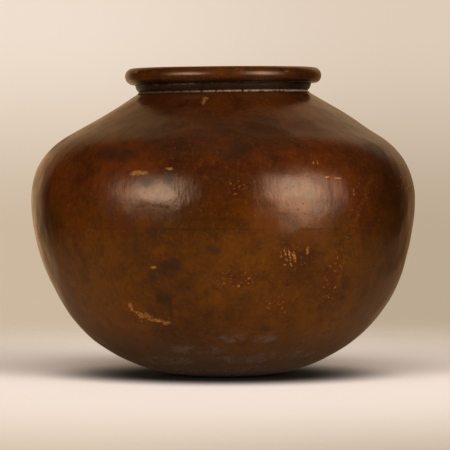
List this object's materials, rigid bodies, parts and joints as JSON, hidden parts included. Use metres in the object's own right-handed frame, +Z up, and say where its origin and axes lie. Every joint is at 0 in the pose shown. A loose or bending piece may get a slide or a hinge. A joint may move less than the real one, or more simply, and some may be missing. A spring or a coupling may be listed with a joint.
{
  "type": "water pot",
  "caption": "Round-bellied sheet copper water pot with a narrow collared neck and a wire-rolled rim, for carrying and storing water.",
  "frame": {"origin": "centre of the flat foot, on the surface that the pot stands on", "axes": "+Z up along the pot's axis, out through the mouth; +Y away from the viewer and +X to the viewer's right, both free because the pot is round"},
  "size_m": [0.3, 0.3, 0.2398],
  "materials": {
    "bowl_copper": "dark brown aged copper, satin, hammered, rubbed bright in spots",
    "shoulder_copper": "darker brown aged copper, satin, with old drips",
    "collar_copper": "nearly black aged copper, dull",
    "rim_copper": "brown copper, rubbed by handling, satin",
    "hard_solder": "aged braze line, filed level",
    "soft_solder": "dull grey tin solder, stained brown",
    "iron_wire": "plain iron wire, closed in by the rim"
  },
  "bodies": {
    "root": {"lower_bowl": "bowl_copper", "upper_shoulder": "shoulder_copper", "belly_seam_braze": "hard_solder", "neck_collar": "collar_copper", "neck_solder": "soft_solder", "rim_solder": "soft_solder", "rolled_rim": "rim_copper", "rim_wire": "iron_wire"}
  },
  "joints": []
}
